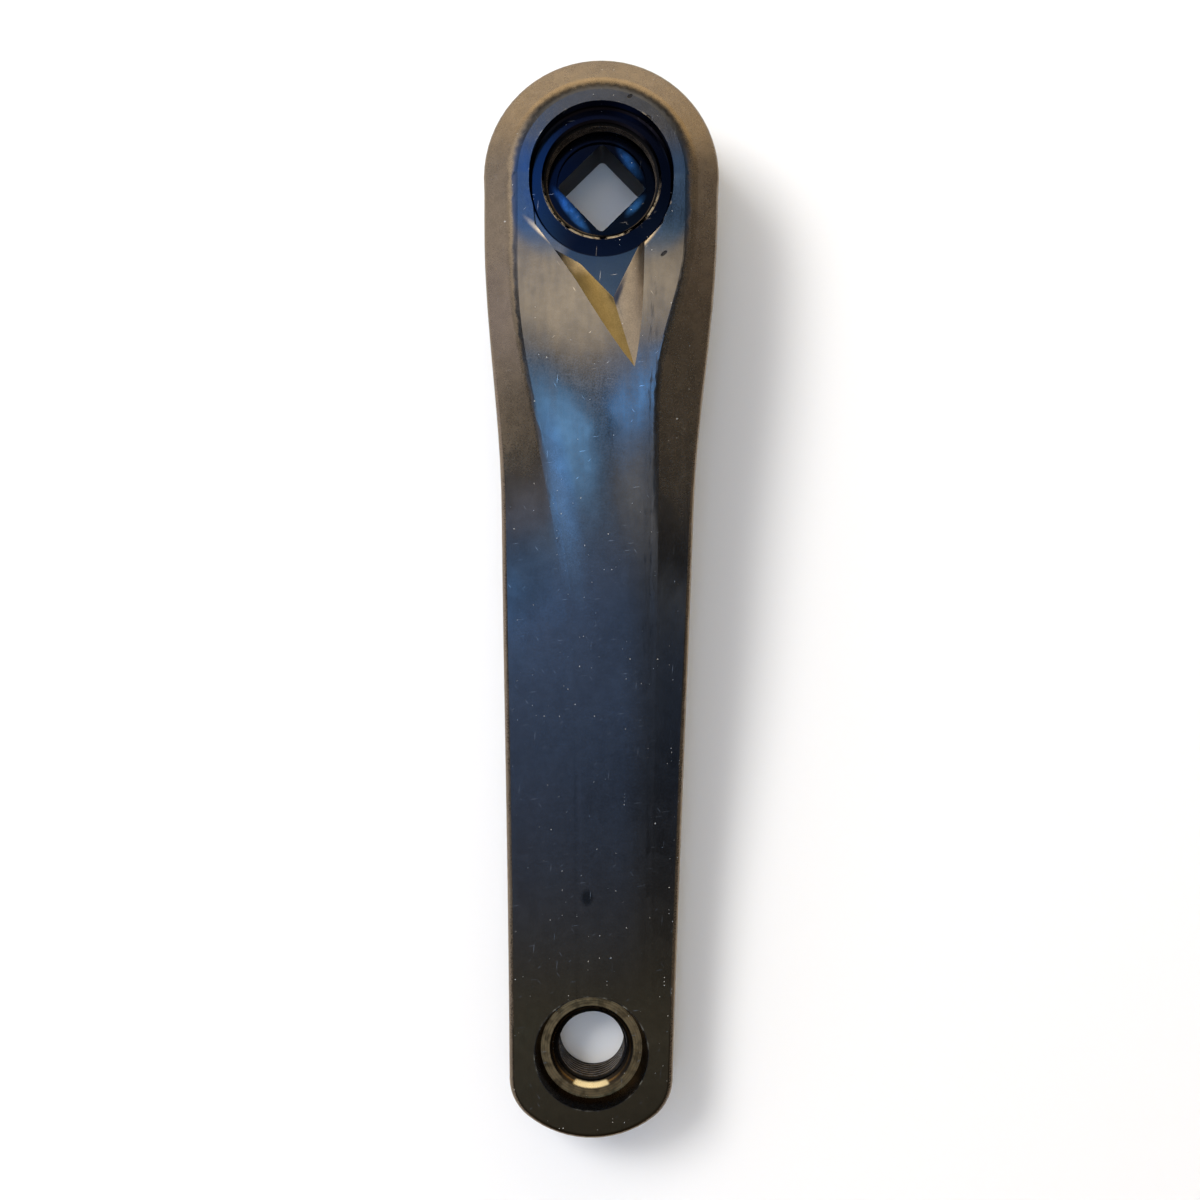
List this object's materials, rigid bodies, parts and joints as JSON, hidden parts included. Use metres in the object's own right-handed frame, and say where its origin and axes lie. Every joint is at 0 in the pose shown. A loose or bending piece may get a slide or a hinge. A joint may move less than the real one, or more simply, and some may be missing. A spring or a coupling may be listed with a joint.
{
  "type": "bicycle crank arm",
  "caption": "Left bicycle crank arm, forged, with a square taper socket and extractor thread at one end and a threaded pedal eye at the other.",
  "frame": {"origin": "on the spindle axis, in the plane of the machined pads on the arm's back", "axes": "+Z along the spindle axis, out of the outer face; the arm runs along -Y from the spindle eye to the pedal eye"},
  "size_m": [0.0448, 0.2092, 0.03],
  "materials": {
    "arm": "glossy black coating, worn and dusty"
  },
  "bodies": {
    "root": {"crank_arm": "arm"}
  },
  "joints": []
}
